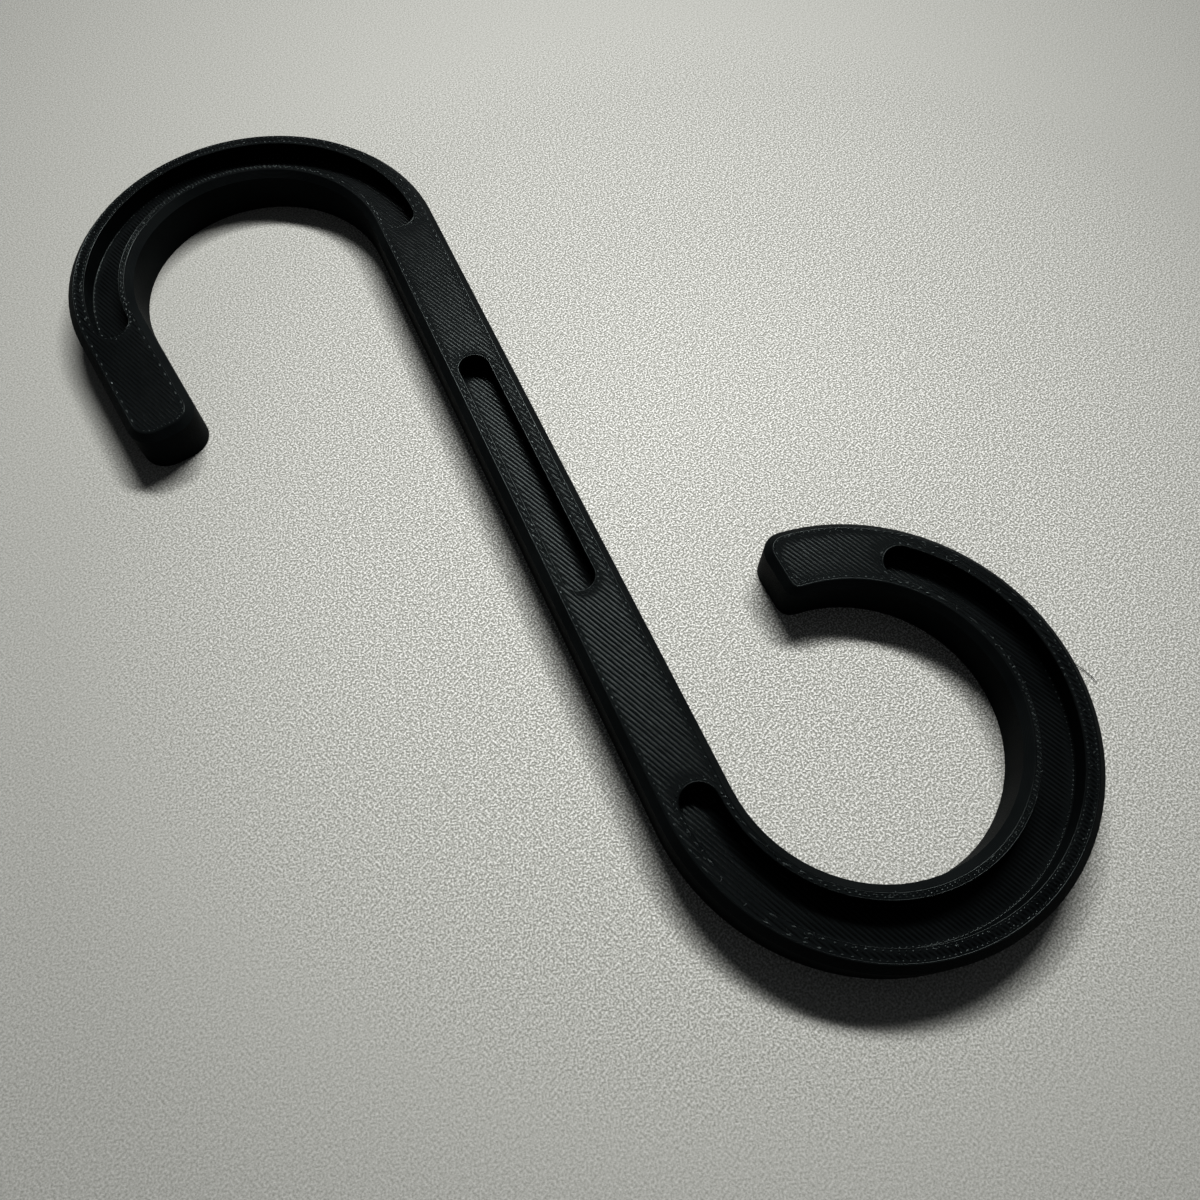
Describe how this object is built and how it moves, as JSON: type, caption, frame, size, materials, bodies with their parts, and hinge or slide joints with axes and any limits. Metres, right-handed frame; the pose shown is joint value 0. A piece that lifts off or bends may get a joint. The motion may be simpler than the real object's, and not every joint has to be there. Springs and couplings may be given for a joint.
{
  "type": "s hook",
  "caption": "Flat printed S hook in matte black plastic, with round hooks, a straight leaning bar, a flared tail and shallow pockets in its face.",
  "frame": {"origin": "on the back face, under the middle of the straight bar, halfway between the two hook centres", "axes": "+Y along the length towards the upper hook with the flared tail, +X to the side the lower hook's tip is on, +Z out of the face with the pockets; it rests on its back at Z = 0"},
  "size_m": [0.0897, 0.25, 0.01],
  "materials": {
    "print": "matte black filament printed in 0.4 mm lines that run along the length on the face and the pocket floors, with fine layer lines on the walls"
  },
  "bodies": {
    "root": {"s_hook": "print"}
  },
  "joints": []
}
